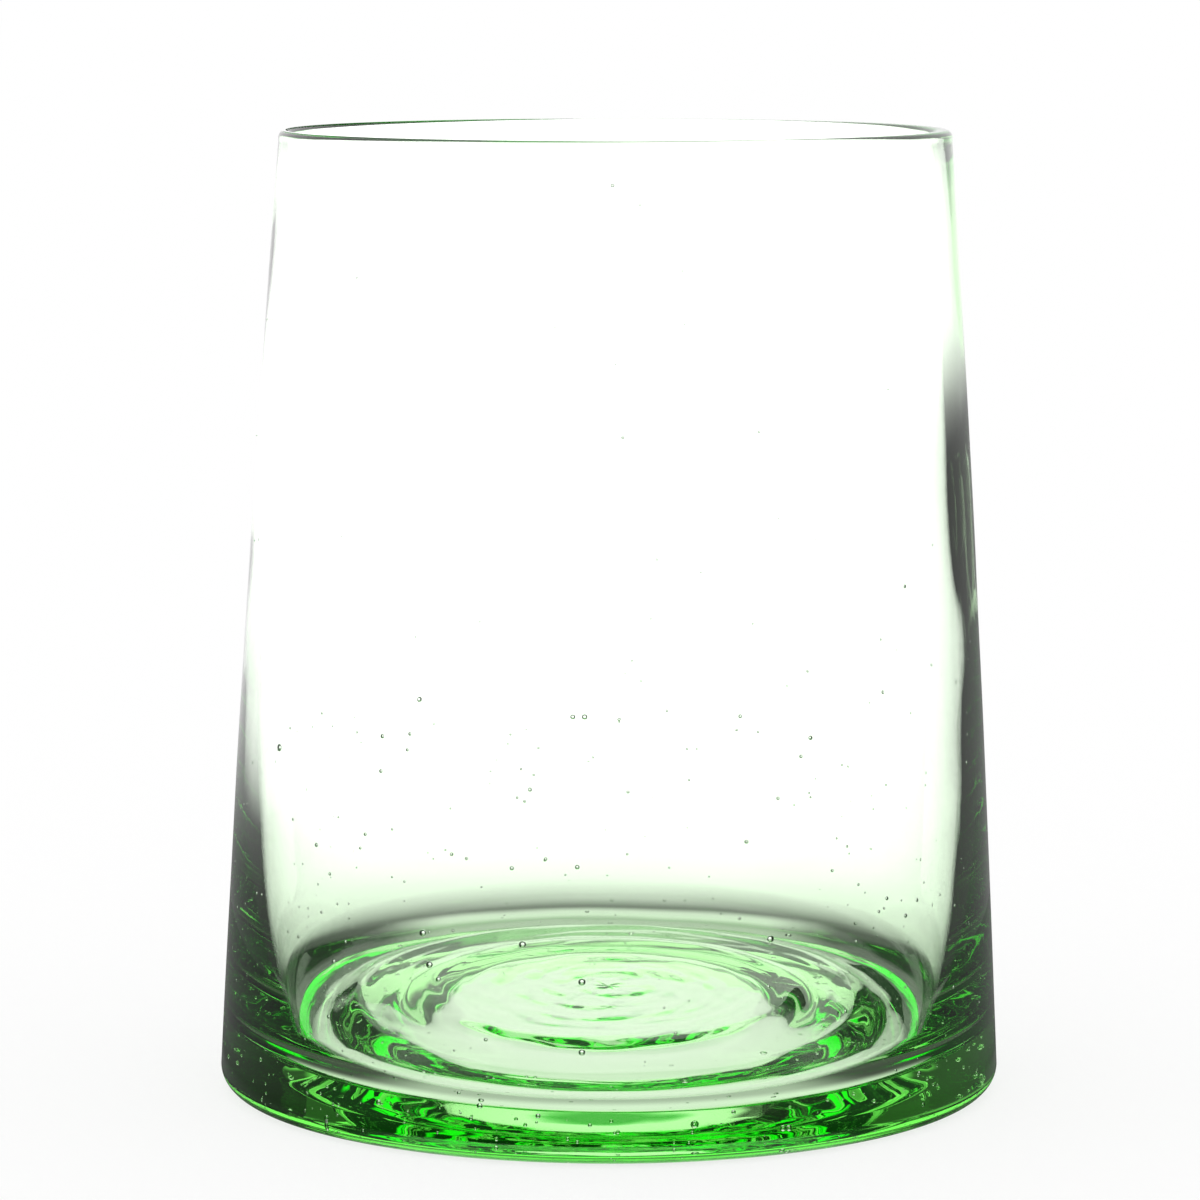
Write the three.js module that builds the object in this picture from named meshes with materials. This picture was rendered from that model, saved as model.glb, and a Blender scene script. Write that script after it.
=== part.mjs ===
// A mouth-blown glass tumbler: a straight-sided cup that tapers towards its rim, with a thick floor.
// One piece of glass, turned from one closed profile. Millimetres, +Z up, foot on z = 0.

import * as THREE from 'three';

// Outside
const height = 90;
const baseDiameter = 74;
const heelRadius = 2;
const sideBow = 0.3;

// Rim: fire-polished to a small bead, a touch proud of the wall outside and inside
const rimDiameter = 63;
const rimThickness = 1.6;
const rimBeadProud = 0.2;
const rimBeadHeight = 1.8;
const rimBeadWrap = THREE.MathUtils.degToRad(20);

// Wall: thin at the rim, swelling towards the floor
const wallAtRim = 1.3;
const wallAtFloor = 5.1;
const wallFade = 15;

// Floor: a soft corner round a low mound that rises in two round steps
const floorThickness = 5.1;
const floorCorner = 4.2;
const troughWidth = 0.3;
const lowerStepWidth = 4;
const lowerStepRise = 1.2;
const ledgeWidth = 4;
const upperStepWidth = 3.5;
const upperStepRise = 0.7;

// Underside: a shallow hollow with a flat top, inside the flat ring that the glass stands on
const hollowDiameter = 42;
const hollowTopDiameter = 29;
const hollowDepth = 3.1;

// How finely the round forms are divided
const turnSteps = 64;
const heelSteps = 4;
const wallSteps = 9;
const beadSteps = 10;
const cornerSteps = 6;
const moundSteps = 7;
const hollowSteps = 6;

const baseRadius = baseDiameter / 2;
const neckRadius = rimDiameter / 2 - rimBeadProud;
const neckHeight = height - rimBeadHeight;

// Outer radius of the wall at a height: a straight taper from heel to neck, bowed outwards
function outerRadius(z) {
  const rise = (z - heelRadius) / (neckHeight - heelRadius);
  return THREE.MathUtils.lerp(baseRadius, neckRadius, rise) + 4 * sideBow * rise * (1 - rise);
}

// Inner radius of the wall at a height: the glass is thickest where it meets the floor
function innerRadius(z) {
  const swell = Math.exp((floorThickness - z) / wallFade);
  return outerRadius(z) - THREE.MathUtils.lerp(wallAtRim, wallAtFloor, swell);
}

const cornerTop = floorThickness + floorCorner;
const floorRadius = innerRadius(cornerTop) - floorCorner;

// Outer edges of the mound's two steps, counted in from the edge of the floor
const lowerStepRadius = floorRadius - troughWidth;
const upperStepRadius = lowerStepRadius - lowerStepWidth - ledgeWidth;

// Height that a step of the mound has gained at a radius: nothing at its outer edge, all at its inner edge
function stepHeight(r, edgeRadius, width, rise) {
  return rise * (1 - THREE.MathUtils.smoothstep(r, edgeRadius - width, edgeRadius));
}

// Height of the floor's surface at a radius
function floorHeight(r) {
  const lower = stepHeight(r, lowerStepRadius, lowerStepWidth, lowerStepRise);
  const upper = stepHeight(r, upperStepRadius, upperStepWidth, upperStepRise);
  return floorThickness + lower + upper;
}

// Height of the underside at a radius: level under the middle, falling to the ring at the hollow's edge
function undersideHeight(r) {
  return hollowDepth * (1 - THREE.MathUtils.smoothstep(r, hollowTopDiameter / 2, hollowDiameter / 2));
}

// Points of a curve that is given by a function of a share from 0 to 1, with both ends
function sample(steps, point) {
  return Array.from({ length: steps + 1 }, (_, step) => point(step / steps));
}

function underside() {
  const slope = sample(hollowSteps, (share) => {
    const r = THREE.MathUtils.lerp(hollowTopDiameter, hollowDiameter, share) / 2;
    return new THREE.Vector2(r, undersideHeight(r));
  });
  return [new THREE.Vector2(0, undersideHeight(0)), ...slope];
}

function heel() {
  return sample(heelSteps, (share) => {
    const angle = ((share - 1) * Math.PI) / 2;
    const r = baseRadius + heelRadius * (Math.cos(angle) - 1);
    return new THREE.Vector2(r, heelRadius * (1 + Math.sin(angle)));
  });
}

function outerWall() {
  const points = sample(wallSteps, (share) => {
    const z = THREE.MathUtils.lerp(heelRadius, neckHeight, share);
    return new THREE.Vector2(outerRadius(z), z);
  });
  return points.slice(1);
}

function rimBead() {
  const beadRadius = rimThickness / 2;
  return sample(beadSteps, (share) => {
    const angle = THREE.MathUtils.lerp(-rimBeadWrap, Math.PI + rimBeadWrap, share);
    const r = rimDiameter / 2 + beadRadius * (Math.cos(angle) - 1);
    return new THREE.Vector2(r, height + beadRadius * (Math.sin(angle) - 1));
  });
}

// The inner wall is divided more finely near the floor, where it curves most
function innerWall() {
  return sample(wallSteps, (share) => {
    const z = THREE.MathUtils.lerp(neckHeight, cornerTop, 1 - (1 - share) ** 2);
    return new THREE.Vector2(innerRadius(z), z);
  });
}

function floorCornerCurve() {
  const start = new THREE.Vector2(innerRadius(cornerTop), cornerTop);
  const bend = new THREE.Vector2(innerRadius(floorThickness), floorThickness);
  const end = new THREE.Vector2(floorRadius, floorThickness);
  return new THREE.QuadraticBezierCurve(start, bend, end).getPoints(cornerSteps).slice(1);
}

// The slope of one step of the mound, from its outer edge to its inner edge
function stepSlope(edgeRadius, width) {
  return sample(moundSteps, (share) => {
    const r = edgeRadius - width * share;
    return new THREE.Vector2(r, floorHeight(r));
  });
}

function floor() {
  return [
    ...stepSlope(lowerStepRadius, lowerStepWidth),
    ...stepSlope(upperStepRadius, upperStepWidth),
    new THREE.Vector2(0, floorHeight(0)),
  ];
}

function tumbler() {
  const profile = [
    ...underside(),
    ...heel(),
    ...outerWall(),
    ...rimBead(),
    ...innerWall(),
    ...floorCornerCurve(),
    ...floor(),
  ];
  const geometry = new THREE.LatheGeometry(profile, turnSteps);
  geometry.rotateX(Math.PI / 2);
  const glass = new THREE.MeshStandardMaterial({
    color: 0xc9e8c6,
    roughness: 0.05,
    metalness: 0,
    transparent: true,
    opacity: 0.35,
  });
  const mesh = new THREE.Mesh(geometry, glass);
  mesh.name = 'tumbler';
  return mesh;
}

const part = new THREE.Group();
part.add(tumbler());

export default part;
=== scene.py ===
# A mouth-blown glass tumbler on a pale studio floor, in metres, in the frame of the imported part.

import math
import random

import bmesh
import bpy
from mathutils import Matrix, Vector, noise


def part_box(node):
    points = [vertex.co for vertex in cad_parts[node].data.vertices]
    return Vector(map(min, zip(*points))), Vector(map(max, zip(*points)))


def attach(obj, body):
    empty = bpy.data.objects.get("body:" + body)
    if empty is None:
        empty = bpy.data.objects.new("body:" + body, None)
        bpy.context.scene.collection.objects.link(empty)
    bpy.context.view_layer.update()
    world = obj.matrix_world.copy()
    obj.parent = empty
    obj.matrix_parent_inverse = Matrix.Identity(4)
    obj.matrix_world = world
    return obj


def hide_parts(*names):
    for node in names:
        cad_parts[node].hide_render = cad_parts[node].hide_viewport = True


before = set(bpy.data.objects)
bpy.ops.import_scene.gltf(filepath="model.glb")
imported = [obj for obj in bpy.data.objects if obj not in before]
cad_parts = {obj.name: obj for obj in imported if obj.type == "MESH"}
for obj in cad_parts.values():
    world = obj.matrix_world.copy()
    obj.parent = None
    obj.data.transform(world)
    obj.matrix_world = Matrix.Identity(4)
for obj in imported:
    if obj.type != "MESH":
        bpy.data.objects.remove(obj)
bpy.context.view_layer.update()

tumbler_low, tumbler_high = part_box("tumbler")
mm = 0.001

# Outside of the glass
height = tumbler_high[2] - tumbler_low[2]
base_radius = (tumbler_high[0] - tumbler_low[0]) / 2
heel_radius = 2.0 * mm
side_bow = 0.3 * mm

# Rim
rim_radius = 31.5 * mm
rim_thickness = 1.4 * mm
rim_proud = 0.02 * mm
rim_bead_height = 1.0 * mm
rim_bead_wrap = math.radians(6)

# Wall, thin at the rim and swelling towards the floor
wall_at_rim = 1.3 * mm
wall_at_floor = 5.1 * mm
wall_fade = 15.0 * mm

# Floor with a low mound of two round steps
floor_thickness = 5.1 * mm
floor_corner = 4.2 * mm
trough_width = 0.3 * mm
lower_step_width = 4.0 * mm
lower_step_rise = 1.2 * mm
ledge_width = 4.0 * mm
upper_step_width = 3.5 * mm
upper_step_rise = 0.7 * mm

# Shallow hollow under the foot, with a flat top
hollow_radius = 21.0 * mm
hollow_top_radius = 14.5 * mm
hollow_depth = 3.1 * mm

# How finely the form is divided
turn_steps = 240
underside_steps = 44
heel_steps = 14
outer_wall_steps = 46
bead_steps = 22
inner_wall_steps = 64
corner_steps = 26
mound_steps = 90
seed_divisions = 2

neck_height = height - rim_bead_height
neck_radius = rim_radius - rim_proud
corner_top = floor_thickness + floor_corner

# What the hand of the glass blower left: the cup leans, its floor tilts and its rim stands a little high
lean_at_rim = 0.6 * mm
cavity_lean = 0.1 * mm
rim_rise = 0.4 * mm
floor_tilt = 0.052
tilt_fades_from = corner_top - 2.0 * mm
still_radius = 1.0 * mm

# Waves of the wall: how deep they are, how close they stand round the wall, and how long they are upwards
wall_wave = 0.07 * mm
broad_wave_turns = 1.3
broad_wave_length = 26.0 * mm
broad_wave_start = Vector((7, 1, 3))
fine_wave_share = 0.35
fine_wave_turns = 5.0
fine_wave_length = 9.0 * mm
fine_wave_start = Vector((2, 8, 5))
inside_waves_full = 4 * corner_top
outside_wave = 0.04 * mm
outside_wave_turns = 1.5
outside_wave_length = 13.333 * mm
outside_wave_start = Vector((0, 0, 0))
outside_waves_full = 12.0 * mm

# Stronger ripples at the right of the wall
right_ripple = 0.12 * mm
right_ripple_turns = 4.0
right_ripple_length = 13.0 * mm
right_ripple_start = 4.5
right_ripple_spread = 0.2

# Swirls of the floor and, more faintly, of the hollow: drawn-out rings that wind round the middle
floor_swirl = 0.09 * mm
underside_swirl = 0.012 * mm
underside_swirl_turn = 2.0
swirl_pitch = 14.0 * mm
swirl_core = 0.8
swirl_widening = 16.0 * mm
swirl_ring_width = 2.2 * mm
swirl_smoothness = 0.9
swirl_step = 2.1
swirl_layers = 2

# Seeds, the bubbles in the glass, zone by zone: how many, lowest and highest place, usual radius
seed_zones = (
    (260, 0.8 * mm, 4.5 * mm, 0.13 * mm),
    (300, 5.0 * mm, 40.0 * mm, 0.11 * mm),
    (50, 40.0 * mm, 84.0 * mm, 0.09 * mm),
)
seed_spread = 0.45
seed_draw = 5
seedless_radius = 20.0 * mm

# Large seeds that show in the front of the wall, as places across and heights
big_seed_radius = 0.33 * mm
big_seeds = (
    (-7.6 * mm, 19.6 * mm),
    (-15.8 * mm, 17.2 * mm),
    (-16.4 * mm, 20.0 * mm),
    (-2.4 * mm, 16.4 * mm),
    (14.1 * mm, 19.7 * mm),
)

# Camera, fitted to the photograph's frame of 1200 by 1200 pixels
image_pixels = 1200
focal_pixels = 5044
sensor_width = 36.0
camera_place = Vector((-0.84, -473.4, 106.4)) * mm
camera_pitch = math.radians(7.27)


def lerp(a, b, share):
    return a + (b - a) * share


def smooth(x, low, high):
    share = min(max((x - low) / (high - low), 0.0), 1.0)
    return share * share * (3 - 2 * share)


# Shares of a length after each of its steps, from the first step to the whole
def shares(steps):
    return [step / steps for step in range(1, steps + 1)]


# Profile of the glass, from the middle of the underside round to the middle of the floor

def outer_radius(z):
    rise = (z - heel_radius) / (neck_height - heel_radius)
    return lerp(base_radius, neck_radius, rise) + 4 * side_bow * rise * (1 - rise)


def inner_radius(z):
    swell = math.exp((floor_thickness - z) / wall_fade)
    return outer_radius(z) - lerp(wall_at_rim, wall_at_floor, swell)


corner_top_radius = inner_radius(corner_top)
floor_radius = corner_top_radius - floor_corner
lower_step_radius = floor_radius - trough_width
upper_step_radius = lower_step_radius - lower_step_width - ledge_width


def floor_height(r):
    lower = 1 - smooth(r, lower_step_radius - lower_step_width, lower_step_radius)
    upper = 1 - smooth(r, upper_step_radius - upper_step_width, upper_step_radius)
    return floor_thickness + lower_step_rise * lower + upper_step_rise * upper


# Share of the hollow's depth at a radius
def hollow_share(r):
    return 1 - smooth(r, hollow_top_radius, hollow_radius)


def underside():
    flat_radius = base_radius - heel_radius
    radii = [0.0] + [flat_radius * share for share in shares(underside_steps)]
    return [(r, hollow_depth * hollow_share(r)) for r in radii]


def heel():
    points = []
    for share in shares(heel_steps):
        angle = (share - 1) * math.pi / 2
        r = base_radius + heel_radius * (math.cos(angle) - 1)
        points.append((r, heel_radius * (1 + math.sin(angle))))
    return points


def outer_wall():
    heights = [lerp(heel_radius, neck_height, share) for share in shares(outer_wall_steps)]
    return [(outer_radius(z), z) for z in heights]


def rim_bead():
    bead_radius = rim_thickness / 2
    points = []
    for share in shares(bead_steps):
        angle = lerp(-rim_bead_wrap, math.pi + rim_bead_wrap, share)
        r = rim_radius + bead_radius * (math.cos(angle) - 1)
        points.append((r, height + bead_radius * (math.sin(angle) - 1)))
    return points


# The inner wall is divided more finely near the floor, where it curves most
def inner_wall():
    falls = [1 - (1 - share) ** 2 for share in shares(inner_wall_steps)]
    heights = [lerp(neck_height, corner_top, fall) for fall in falls]
    return [(inner_radius(z), z) for z in heights]


def floor_corner_curve():
    start = (corner_top_radius, corner_top)
    bend = (inner_radius(floor_thickness), floor_thickness)
    end = (floor_radius, floor_thickness)
    points = []
    for share in shares(corner_steps):
        near = [lerp(a, b, share) for a, b in zip(start, bend)]
        far = [lerp(a, b, share) for a, b in zip(bend, end)]
        points.append(tuple(lerp(a, b, share) for a, b in zip(near, far)))
    return points


def mound():
    radii = [floor_radius * (1 - share) for share in shares(mound_steps)]
    return [(r, floor_height(r)) for r in radii]


# Hand-made form: small shifts of the turned profile

def wall_noise(z, angle, turns, length, start):
    spot = Vector((math.cos(angle) * turns, math.sin(angle) * turns, z / length))
    return noise.noise(spot + start)


def outside_shift(z, angle):
    wave = wall_noise(z, angle, outside_wave_turns, outside_wave_length, outside_wave_start)
    return outside_wave * wave * smooth(z, 0, outside_waves_full)


def right_ripples(z, angle):
    spot = Vector((math.sin(angle) * right_ripple_turns, z / right_ripple_length, right_ripple_start))
    return noise.noise(spot) * math.exp(-(math.sin(angle / 2) / right_ripple_spread) ** 2)


def inside_shift(z, angle):
    broad = wall_noise(z, angle, broad_wave_turns, broad_wave_length, broad_wave_start)
    fine = wall_noise(z, angle, fine_wave_turns, fine_wave_length, fine_wave_start)
    shift = wall_wave * (broad + fine_wave_share * fine) + right_ripple * right_ripples(z, angle)
    return shift * smooth(z, corner_top, inside_waves_full)


def swirl(r, angle):
    turned = angle + r / swirl_pitch
    reach = swirl_core + r / swirl_widening
    flow = Vector((math.cos(turned) * reach, math.sin(turned) * reach, r / swirl_ring_width))
    return noise.fractal(flow, swirl_smoothness, swirl_step, swirl_layers)


# Upward shift of the inside: the floor's tilt fades out up the wall, and its swirls end at its corner
def inside_lift(r, z, angle):
    tilt = floor_tilt * r * math.sin(angle)
    lift = tilt * (1 - smooth(z, tilt_fades_from, inside_waves_full))
    if z < corner_top:
        lift += floor_swirl * swirl(r, angle) * (1 - smooth(r, lower_step_radius, corner_top_radius))
    return lift


# Upward shift of the outside: only the hollow tilts and swirls, and the foot stays level
def outside_lift(r, angle):
    tilt = floor_tilt * r * math.sin(angle)
    swirls = underside_swirl * swirl(r, angle + underside_swirl_turn)
    return hollow_share(r) * (tilt + swirls)


def place(r, z, angle, inside):
    rise = max(z, 0.0) / height
    shift = inside_shift(z, angle) if inside else outside_shift(z, angle)
    lift = inside_lift(r, z, angle) if inside else outside_lift(r, angle)
    lean = (cavity_lean if inside else lean_at_rim) * rise
    shifted = r + shift if r > still_radius else r
    x = shifted * math.cos(angle) + lean
    y = shifted * math.sin(angle)
    return (x, y, z + lift + rim_rise * rise ** 3)


# Seeds, as small closed hollows

def seed_spots():
    draw = random.Random(seed_draw)
    spots = []
    for count, low, high, usual_radius in seed_zones:
        for _ in range(count):
            z = draw.uniform(low, high)
            angle = draw.uniform(0, 2 * math.pi)
            radius = usual_radius * math.exp(draw.gauss(0, seed_spread))
            inner = inner_radius(max(z, corner_top)) if z > floor_thickness else seedless_radius
            margin = 2 * radius + wall_wave
            outer = outer_radius(z) - margin
            if inner + margin < outer:
                r = draw.uniform(inner + margin, outer)
                spots.append((r * math.cos(angle), r * math.sin(angle), z, radius))
    for x, z in big_seeds:
        r = (inner_radius(z) + outer_radius(z)) / 2
        spots.append((x, -math.sqrt(r * r - x * x), z, big_seed_radius))
    return spots


# A ball of radius 1 whose faces look inwards
def seed_shape():
    mesh = bmesh.new()
    bmesh.ops.create_icosphere(mesh, subdivisions=seed_divisions, radius=1.0)
    corners = [vertex.co.copy() for vertex in mesh.verts]
    faces = [[vertex.index for vertex in reversed(face.verts)] for face in mesh.faces]
    mesh.free()
    return corners, faces


# Faces between two rings of the turned form, either of which may be a single point
def ring_faces(below, above):
    faces = []
    for step in range(turn_steps):
        following = step + 1
        face = (below[step % len(below)], below[following % len(below)],
                above[following % len(above)], above[step % len(above)])
        faces.append(list(dict.fromkeys(face)))
    return faces


def turned_shape():
    bead = rim_bead()
    crest = len(bead) // 2
    outside = underside() + heel() + outer_wall() + bead[:crest]
    inside = bead[crest:] + inner_wall() + floor_corner_curve() + mound()
    profile = [(r, z, False) for r, z in outside] + [(r, z, True) for r, z in inside]
    angles = [2 * math.pi * step / turn_steps for step in range(turn_steps)]
    corners = []
    rings = []
    for r, z, is_inside in profile:
        ring_angles = angles if r > 0 else [0.0]
        rings.append(range(len(corners), len(corners) + len(ring_angles)))
        corners += [place(r, z, angle, is_inside) for angle in ring_angles]
    faces = []
    for below, above in zip(rings, rings[1:]):
        faces += ring_faces(below, above)
    return corners, faces


def add_object(name, data):
    made = bpy.data.objects.new(name, data)
    bpy.context.scene.collection.objects.link(made)
    return made


def make_tumbler():
    corners, faces = turned_shape()
    seed_corners, seed_faces = seed_shape()
    for x, y, z, radius in seed_spots():
        first = len(corners)
        corners += [Vector((x, y, z)) + corner * radius for corner in seed_corners]
        faces += [[first + index for index in face] for face in seed_faces]
    data = bpy.data.meshes.new("tumbler_glass")
    data.from_pydata(corners, [], faces)
    data.shade_smooth()
    data.materials.append(make_glass())
    return add_object("tumbler_glass", data)


# Node helpers

class Nodes:
    def __init__(self, tree):
        self.tree = tree

    def add(self, kind, **settings):
        node = self.tree.nodes.new(kind)
        for name, value in settings.items():
            setattr(node, name, value)
        return node

    # Links a socket to another node's output, or sets its value
    def feed(self, socket, value):
        if isinstance(value, bpy.types.NodeSocket):
            self.tree.links.new(value, socket)
        else:
            socket.default_value = value

    def feed_all(self, sockets, values):
        for socket, value in zip(sockets, values):
            self.feed(socket, value)

    def math(self, operation, *values):
        node = self.add("ShaderNodeMath", operation=operation)
        self.feed_all(node.inputs, values)
        return node.outputs[0]

    def product(self, first, *others):
        for other in others:
            first = self.math("MULTIPLY", first, other)
        return first

    # What is left of 1
    def rest(self, value):
        return self.math("SUBTRACT", 1.0, value)

    def ramp(self, value, low, high, start=0.0, end=1.0):
        node = self.add("ShaderNodeMapRange", interpolation_type="SMOOTHSTEP")
        names = ("Value", "From Min", "From Max", "To Min", "To Max")
        self.feed_all([node.inputs[name] for name in names], (value, low, high, start, end))
        return node.outputs["Result"]

    def blend(self, share, first, second):
        node = self.add("ShaderNodeMix", data_type="FLOAT")
        self.feed_all((node.inputs[0], node.inputs[2], node.inputs[3]), (share, first, second))
        return node.outputs[0]

    def blend_colours(self, share, first, second):
        node = self.add("ShaderNodeMix", data_type="RGBA")
        self.feed_all((node.inputs[0], node.inputs[6], node.inputs[7]), (share, first, second))
        return node.outputs[2]

    def blend_shaders(self, share, first, second):
        node = self.add("ShaderNodeMixShader")
        self.feed_all(node.inputs, (share, first, second))
        return node.outputs[0]

    # One part, X, Y or Z, of a vector
    def part(self, vector, axis):
        node = self.add("ShaderNodeSeparateXYZ")
        self.feed(node.inputs[0], vector)
        return node.outputs[axis]

    def light_path(self, name):
        return self.add("ShaderNodeLightPath").outputs[name]

    def output(self, name, value):
        self.feed(self.tree.nodes["Material Output"].inputs[name], value)


def new_material(name):
    material = bpy.data.materials.new(name)
    material.use_nodes = True
    return material, Nodes(material.node_tree)


# A material of the studio, without the shader that comes with a new material
def new_stage_material(name):
    material, nodes = new_material(name)
    nodes.tree.nodes.remove(nodes.tree.nodes["Principled BSDF"])
    return material, nodes


# Material of the glass: clear gloss with soft ripples, drawn-out cords, and faint scuffs on the wall

glass_ior = 1.52
absorption = (32.0, 5.0, 41.0)
strongest_share = 0.95
ripple_detail = 1.0
ripple_size = 9.0 * mm
ripple_height = 0.012 * mm
cord_detail = 1.0
cord_size = 2.5 * mm
cord_stretch = 7.0
cord_height = 0.004 * mm
scuff_detail = 3.0
scuff_size = 0.7 * mm
scuff_range = (0.6, 0.7)
scuff_patch_detail = 2.0
scuff_patch_size = 16.0 * mm
scuff_patch_range = (0.62, 0.72)
scuff_roughness = 0.14
scuffs_full_height = 2 * corner_top


def noise_texture(nodes, place, size, detail):
    texture = nodes.add("ShaderNodeTexNoise")
    nodes.feed(texture.inputs["Vector"], place)
    texture.inputs["Scale"].default_value = 1 / size
    texture.inputs["Detail"].default_value = detail
    return texture.outputs[0]


def stretched(nodes, place, stretch):
    mapping = nodes.add("ShaderNodeMapping")
    nodes.feed(mapping.inputs["Vector"], place)
    mapping.inputs["Scale"].default_value = (1, 1, 1 / stretch)
    return mapping.outputs[0]


def glass_bump(nodes, place):
    ripples = noise_texture(nodes, place, ripple_size, ripple_detail)
    drawn_out = stretched(nodes, place, cord_stretch)
    cords = noise_texture(nodes, drawn_out, cord_size, cord_detail)
    soft = nodes.add("ShaderNodeBump")
    soft.inputs["Distance"].default_value = ripple_height
    nodes.feed(soft.inputs["Height"], ripples)
    fine = nodes.add("ShaderNodeBump")
    fine.inputs["Distance"].default_value = cord_height
    nodes.feed(fine.inputs["Height"], cords)
    nodes.feed(fine.inputs["Normal"], soft.outputs[0])
    return fine.outputs[0]


def glass_roughness(nodes, place):
    patch_noise = noise_texture(nodes, place, scuff_patch_size, scuff_patch_detail)
    patches = nodes.ramp(patch_noise, *scuff_patch_range)
    mark_noise = noise_texture(nodes, place, scuff_size, scuff_detail)
    marks = nodes.ramp(mark_noise, *scuff_range)
    above_base = nodes.ramp(nodes.part(place, "Z"), corner_top, scuffs_full_height)
    return nodes.product(patches, marks, scuff_roughness, above_base)


def make_glass():
    material, nodes = new_material("glass")
    place = nodes.add("ShaderNodeTexCoord").outputs["Object"]
    shader = nodes.tree.nodes["Principled BSDF"]
    shader.inputs["Base Color"].default_value = (1, 1, 1, 1)
    shader.inputs["IOR"].default_value = glass_ior
    shader.inputs["Transmission Weight"].default_value = 1.0
    nodes.feed(shader.inputs["Roughness"], glass_roughness(nodes, place))
    nodes.feed(shader.inputs["Normal"], glass_bump(nodes, place))
    tint = nodes.add("ShaderNodeVolumeAbsorption")
    density = max(absorption) / strongest_share
    tint.inputs["Density"].default_value = density
    tint.inputs["Color"].default_value = tuple(1 - value / density for value in absorption) + (1,)
    nodes.output("Volume", tint.outputs[0])
    return material


# Kinds of rays that come from the glass

# Rays that come straight from the glass, and not from a matt surface
def seen_by_glass(nodes):
    glassy = nodes.math("MAXIMUM", nodes.light_path("Is Glossy Ray"), nodes.light_path("Is Transmission Ray"))
    return nodes.product(glassy, nodes.math("LESS_THAN", nodes.light_path("Diffuse Depth"), 0.5))


# Rays that were reflected at least so many times
def reflected(nodes, times):
    return nodes.math("GREATER_THAN", nodes.light_path("Glossy Depth"), times - 0.5)


# Rays that never entered the glass
def on_surface(nodes):
    return nodes.math("LESS_THAN", nodes.light_path("Transmission Depth"), 0.5)


# Rays that entered the glass and were reflected
def reflected_inside(nodes):
    return nodes.product(reflected(nodes, 1), nodes.rest(on_surface(nodes)))


# Studio: white surroundings, with angles in degrees from straight behind the glass and from the level. Rays
# reflected inside the glass see painted reflections instead: light, dark wings and panes of painted green

studio_white = (1.0, 1.0, 1.0, 1.0)
soft_edge = 4.0
light_bounces = 40

# What rays see that aren't reflected, where the white is over-exposed, and what the surface mirrors
see_through_white = 1.8
room_on_surface = 1.0
room_beside = 0.5
room_beside_from = 62.0

# What rays see that the wall reflects, all painted reflections: light, less of it overhead, painted dark
# wings at the sides, and a pane of painted green
light_sides = 1.4
overhead_light = 0.6
overhead_from = 48.0
wing_from = 24.0
wing_low = 6.0
wing_high = 34.0
wing_dark = 0.92
pane_half_width = 24.0
pane_low = 41.0
pane_high = 58.0
pane_light = 0.5

# What rays see that the base reflects three times or more, all painted reflections: a window of painted
# green, level light, else nearly nothing (painted dark)
base_reflections = 3
painted_reflection_green = (0.05, 1.0, 0.06, 1.0)
window_white = 1.5
window_half_width = 16.0
window_low = 4.0
window_high = 44.0
level_low = -16.0
level_high = 4.0
dark_sides = 0.05
reflections_fade = (8.5, 10.5)


def soft_step(nodes, angle, place, start=0.0, end=1.0):
    return nodes.ramp(angle, place - soft_edge, place + soft_edge, start, end)


def band(nodes, angle, low, high):
    return nodes.product(soft_step(nodes, angle, low), soft_step(nodes, angle, high, 1.0, 0.0))


# Angle of a place or a direction from straight behind the glass, to either side
def angle_off_back(nodes, vector):
    azimuth = nodes.math("ARCTAN2", nodes.part(vector, "X"), nodes.part(vector, "Y"))
    return nodes.math("ABSOLUTE", nodes.math("DEGREES", azimuth))


# Light of the room that the surface of the glass mirrors, less of it from beside the glass
def room_light(nodes, off_back):
    return soft_step(nodes, off_back, room_beside_from, room_on_surface, room_beside)


# Painted reflections in the base: a window of painted green, level light, else painted dark
def sky_in_base(nodes, off_back, elevation, level):
    across = soft_step(nodes, off_back, window_half_width, window_white, 0.0)
    window = nodes.product(across, band(nodes, elevation, window_low, window_high))
    fading = nodes.ramp(nodes.light_path("Glossy Depth"), *reflections_fade, 1.0, 0.0)
    light = nodes.product(nodes.blend(level, window, light_sides), fading)
    return nodes.math("MAXIMUM", light, dark_sides)


# Painted reflections in the wall: light, less of it overhead, painted dark wings at the sides, and the pane
# of painted green
def sky_in_wall(nodes, off_back, elevation, pane):
    light = soft_step(nodes, elevation, overhead_from, light_sides, overhead_light)
    sideways = soft_step(nodes, off_back, wing_from, 0.0, wing_dark)
    wing = nodes.product(sideways, band(nodes, elevation, wing_low, wing_high))
    return nodes.blend(pane, nodes.product(light, nodes.rest(wing)), pane_light)


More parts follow.
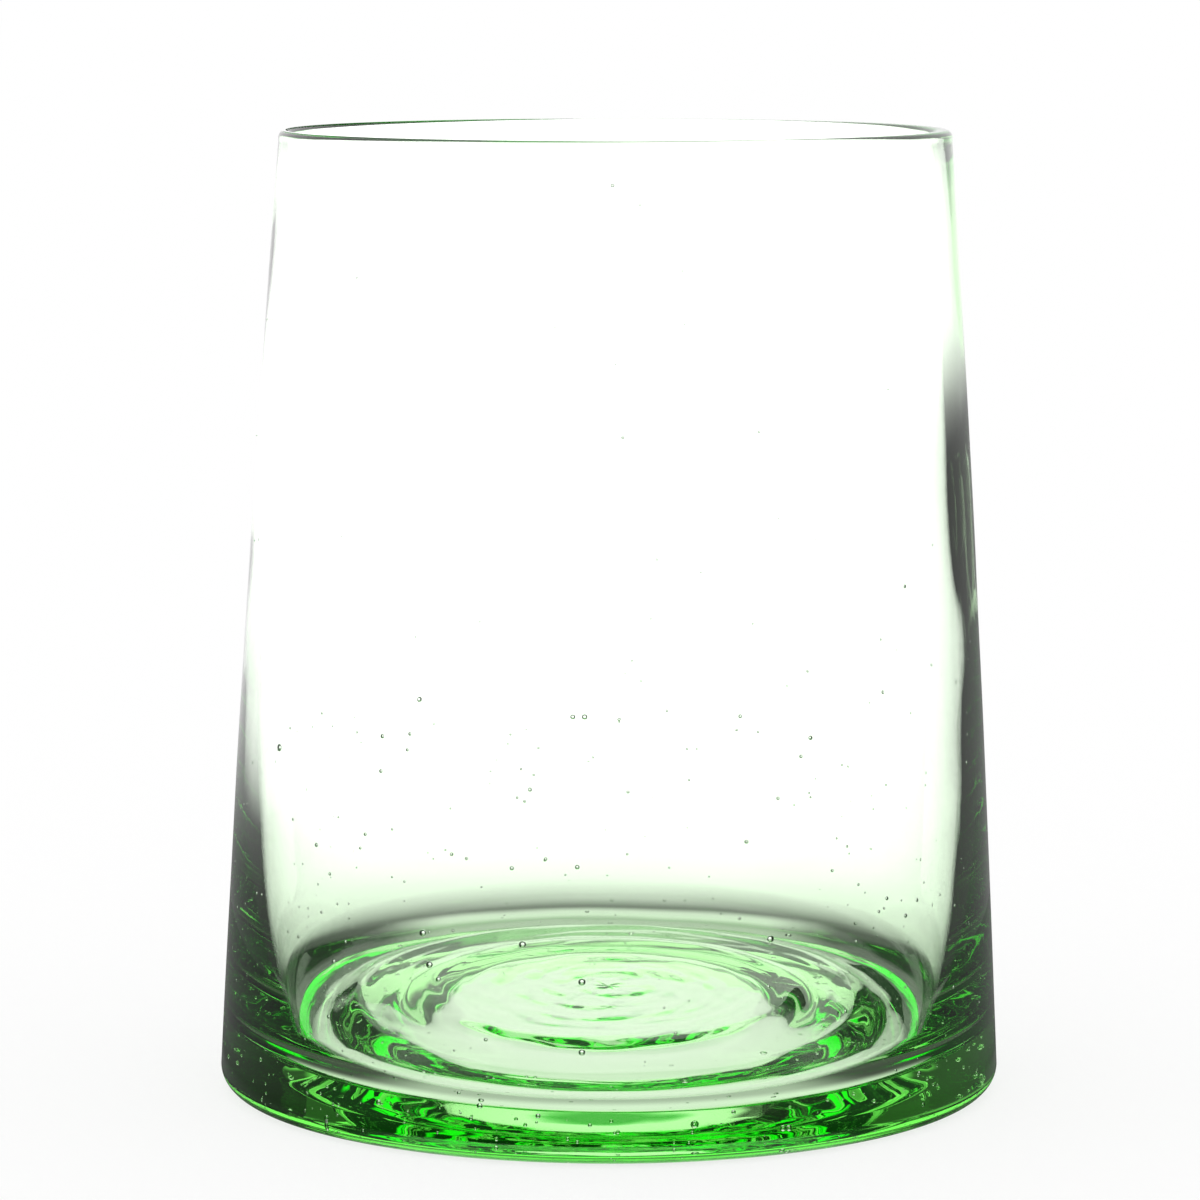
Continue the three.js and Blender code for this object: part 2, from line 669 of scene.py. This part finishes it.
def make_world():
    world = bpy.data.worlds.new("studio")
    bpy.context.scene.world = world
    world.use_nodes = True
    nodes = Nodes(world.node_tree)
    direction = nodes.add("ShaderNodeTexCoord").outputs["Generated"]
    off_back = angle_off_back(nodes, direction)
    elevation = nodes.math("DEGREES", nodes.math("ARCSINE", nodes.part(direction, "Z")))
    level = band(nodes, elevation, level_low, level_high)
    across = soft_step(nodes, off_back, pane_half_width, 1.0, 0.0)
    pane = nodes.product(across, band(nodes, elevation, pane_low, pane_high))
    from_base = reflected(nodes, base_reflections)
    in_wall = sky_in_wall(nodes, off_back, elevation, pane)
    in_base = sky_in_base(nodes, off_back, elevation, level)
    mirrored = nodes.blend(from_base, in_wall, in_base)
    mirrored = nodes.blend(on_surface(nodes), mirrored, room_light(nodes, off_back))
    in_glass = nodes.blend(reflected(nodes, 1), see_through_white, mirrored)
    # Painted green: the pane and the window, seen only in reflections inside the glass, are tinted green to
    # deepen the green of the base
    green = nodes.blend(from_base, pane, nodes.rest(level))
    green = nodes.product(seen_by_glass(nodes), green, reflected_inside(nodes))
    background = world.node_tree.nodes["Background"]
    nodes.feed(background.inputs["Color"], nodes.blend_colours(green, studio_white, painted_reflection_green))
    nodes.feed(background.inputs["Strength"], nodes.blend(seen_by_glass(nodes), 1.0, in_glass))


# Dark card round the glass, open at the back and higher at the right, that shows only in reflections: a
# painted dark reflection at the glass's sides

card_in_glass = 0.03
card_on_surface = 0.26
card_distance = 115.0 * mm
card_gap = 24.0
card_high = 72.0 * mm
card_low = 16.0 * mm
card_falls_from = 110.0
card_falls_to = 240.0
card_foot = -120.0 * mm
card_fade = 20.0 * mm
card_steps = 64


def make_card_surface():
    material, nodes = new_stage_material("dark_card")
    clear = nodes.add("ShaderNodeBsdfTransparent")
    dark = nodes.add("ShaderNodeEmission")
    strength = nodes.blend(on_surface(nodes), card_in_glass, card_on_surface)
    nodes.feed(dark.inputs["Strength"], strength)
    below_top = nodes.add("ShaderNodeAttribute", attribute_name="below_top").outputs["Fac"]
    solid = nodes.ramp(below_top, 0.0, card_fade)
    shown = nodes.product(seen_by_glass(nodes), reflected(nodes, 1), solid)
    nodes.output("Surface", nodes.blend_shaders(shown, clear.outputs[0], dark.outputs[0]))
    return material


def make_card():
    corners = []
    below_top = []
    for share in [0.0] + shares(card_steps):
        azimuth = lerp(card_gap, 360 - card_gap, share)
        top = lerp(card_high, card_low, smooth(azimuth, card_falls_from, card_falls_to))
        x = card_distance * math.sin(math.radians(azimuth))
        y = card_distance * math.cos(math.radians(azimuth))
        corners += [(x, y, card_foot), (x, y, top)]
        below_top += [top - card_foot, 0.0]
    faces = [(step, step + 2, step + 3, step + 1) for step in range(0, len(corners) - 2, 2)]
    data = bpy.data.meshes.new("dark_card")
    data.from_pydata(corners, [], faces)
    data.attributes.new("below_top", "FLOAT", "POINT").data.foreach_set("value", below_top)
    data.materials.append(make_card_surface())
    add_object("dark_card", data)


# White floor, with the shadow that the glass throws on it; in the glass the floor glows instead, with painted
# shadow and painted shade

studio_radius = 8.0
studio_segments = 96
floor_drop = 0.05 * mm
floor_glow = 0.75

# How the glass sees the floor round it: with a painted shadow near the foot, and mirrored as pale only
# further off
floor_on_surface = 0.2
floor_pale_from = 3 * base_radius
floor_pale_to = 9 * base_radius
shadow_edge = 44.0 * mm
shadows = ((0.55, 11.0 * mm), (0.35, 45.0 * mm))
shadow_full_to = 0.5 * base_radius
shadow_weak_from = 1.5 * base_radius
shadow_beside = 0.3

# How the glass sees the floor under it: a ring of painted shade where it stands, and painted shade under its
# two ends
foot_edge = (base_radius + 4.0 * mm, base_radius + 8.0 * mm)
contact_depth = 0.4
contact_starts = (30.0 * mm, 33.0 * mm)
contact_ends = (38.0 * mm, 40.0 * mm)
ends_depth = 0.85
ends_from_radius = (29.0 * mm, 33.0 * mm)
ends_from_side = (17.0 * mm, 26.0 * mm)


# Painted shadow of the glass on the floor round it, weaker beside the glass
def floor_near(nodes, position, radius, off_axis):
    beside = nodes.ramp(off_axis, shadow_full_to, shadow_weak_from, 1.0, shadow_beside)
    lit = 1.0
    for depth, fade in shadows:
        distance = nodes.math("DIVIDE", nodes.math("SUBTRACT", shadow_edge, radius), fade)
        shadow = nodes.math("EXPONENT", nodes.math("MINIMUM", distance, 0.0))
        lit = nodes.math("SUBTRACT", lit, nodes.product(shadow, depth, beside))
    room = room_light(nodes, angle_off_back(nodes, position))
    mirrored = nodes.ramp(radius, floor_pale_from, floor_pale_to, floor_on_surface, room)
    return nodes.product(lit, nodes.blend(on_surface(nodes), see_through_white, mirrored))


# Painted shade under the glass: a dark ring at the foot and dark patches under its two ends
def floor_under(nodes, radius, off_axis):
    contact = nodes.product(nodes.ramp(radius, *contact_starts), nodes.ramp(radius, *contact_ends, 1.0, 0.0))
    ends = nodes.product(nodes.ramp(radius, *ends_from_radius), nodes.ramp(off_axis, *ends_from_side))
    contact_light = nodes.rest(nodes.product(contact, contact_depth))
    return nodes.product(contact_light, nodes.rest(nodes.product(ends, ends_depth)))


# Rays that were reflected inside the glass pass through the floor round it, and see the surroundings
def floor_in_glass(nodes):
    position = nodes.add("ShaderNodeNewGeometry").outputs["Position"]
    length = nodes.add("ShaderNodeVectorMath", operation="LENGTH")
    nodes.feed(length.inputs[0], position)
    radius = length.outputs["Value"]
    off_axis = nodes.math("ABSOLUTE", nodes.part(position, "X"))
    beyond_foot = nodes.ramp(radius, *foot_edge)
    near = floor_near(nodes, position, radius, off_axis)
    under = floor_under(nodes, radius, off_axis)
    # For the glass the floor glows, with its shadow and shade painted in
    glow = nodes.add("ShaderNodeEmission")
    nodes.feed(glow.inputs["Strength"], nodes.blend(beyond_foot, under, near))
    clear = nodes.add("ShaderNodeBsdfTransparent")
    through = nodes.product(reflected_inside(nodes), beyond_foot)
    return nodes.blend_shaders(through, glow.outputs[0], clear.outputs[0])


def make_floor_surface():
    material, nodes = new_stage_material("studio_floor")
    matt = nodes.add("ShaderNodeBsdfDiffuse")
    matt.inputs["Color"].default_value = studio_white
    glow = nodes.add("ShaderNodeEmission")
    seen = nodes.blend_shaders(floor_glow, matt.outputs[0], glow.outputs[0])
    nodes.output("Surface", nodes.blend_shaders(seen_by_glass(nodes), seen, floor_in_glass(nodes)))
    return material


def make_floor():
    mesh = bmesh.new()
    bmesh.ops.create_circle(mesh, cap_ends=True, segments=studio_segments, radius=studio_radius)
    data = bpy.data.meshes.new("studio_floor")
    mesh.to_mesh(data)
    mesh.free()
    data.materials.append(make_floor_surface())
    floor = add_object("studio_floor", data)
    floor.location.z = -floor_drop


def make_camera():
    data = bpy.data.cameras.new("camera")
    data.sensor_width = sensor_width
    data.lens = focal_pixels * sensor_width / image_pixels
    camera = add_object("camera", data)
    camera.location = camera_place
    camera.rotation_euler = (math.pi / 2 - camera_pitch, 0, 0)
    bpy.context.scene.camera = camera


# Light goes through the glass, and is reflected in it, many times
def set_light_paths():
    cycles = bpy.context.scene.cycles
    cycles.max_bounces = light_bounces
    cycles.transmission_bounces = light_bounces
    cycles.glossy_bounces = light_bounces
    cycles.transparent_max_bounces = light_bounces


make_camera()
make_world()
make_floor()
make_card()
set_light_paths()
bpy.context.scene.view_settings.view_transform = "Standard"

tumbler = make_tumbler()
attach(tumbler, "root")
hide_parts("tumbler")
